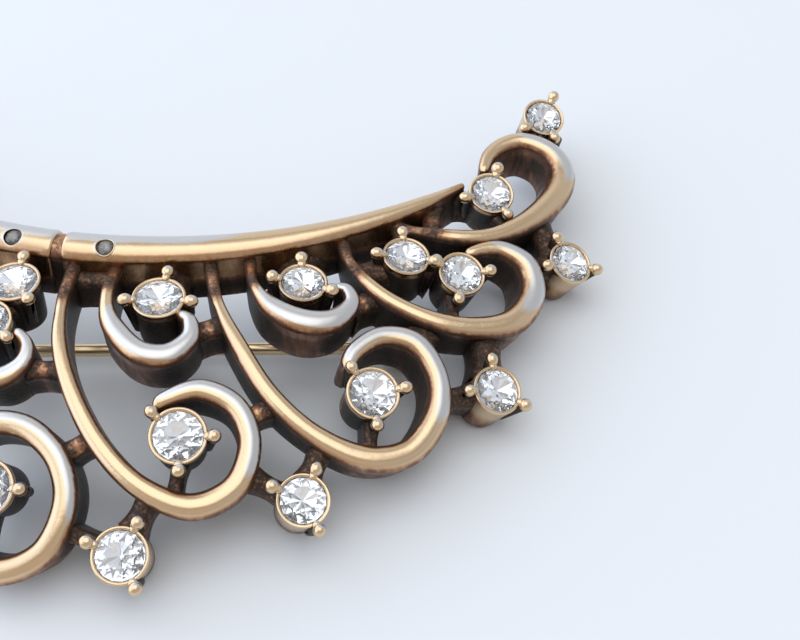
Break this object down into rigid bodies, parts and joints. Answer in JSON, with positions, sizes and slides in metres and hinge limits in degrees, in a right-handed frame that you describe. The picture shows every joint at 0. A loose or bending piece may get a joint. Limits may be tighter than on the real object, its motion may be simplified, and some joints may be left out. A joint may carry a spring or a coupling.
{
  "type": "feather brooch",
  "caption": "Domed feather brooch: scrolled barbs hang from a bowed spine, with round cut stones in beaded cups and a hinged pin behind.",
  "frame": {"origin": "on the table under the middle of the brooch's bounding box", "axes": "+X along the feather from the quill to the tip, +Y towards the hollow side of the spine, +Z out of the front, away from the wearer"},
  "size_m": [0.0552, 0.0359, 0.0084],
  "materials": {
    "gilt_metal": "antiqued gold plate, polished on top and dark in the recesses",
    "pin_wire": "polished wire",
    "clear_glass": "faceted and foiled at the back",
    "grey_glass": "small faceted stone, dull"
  },
  "bodies": {
    "brooch": {"casting": "gilt_metal", "hinge": "gilt_metal", "catch": "gilt_metal", "chip_0": "grey_glass", "chip_1": "grey_glass", "stone_curl_0": "clear_glass", "stone_curl_1": "clear_glass", "stone_curl_2": "clear_glass", "stone_curl_3": "clear_glass", "stone_curl_4": "clear_glass", "stone_edge_1": "clear_glass", "stone_edge_2": "clear_glass", "stone_edge_3": "clear_glass", "stone_edge_4": "clear_glass", "stone_edge_5": "clear_glass", "stone_hook_0": "clear_glass", "stone_hook_1": "clear_glass", "stone_hook_2": "clear_glass", "stone_spine_0": "clear_glass", "stone_spine_3": "clear_glass"},
    "pin": {"pin_stem": "pin_wire"}
  },
  "joints": [
    {"name": "pin_hinge", "type": "hinge", "parent": "brooch", "child": "pin", "pos_m": [-0.0152, -0.00075, 0.00115], "axis": [0, 1, 0], "range_deg": [0, 90]}
  ]
}
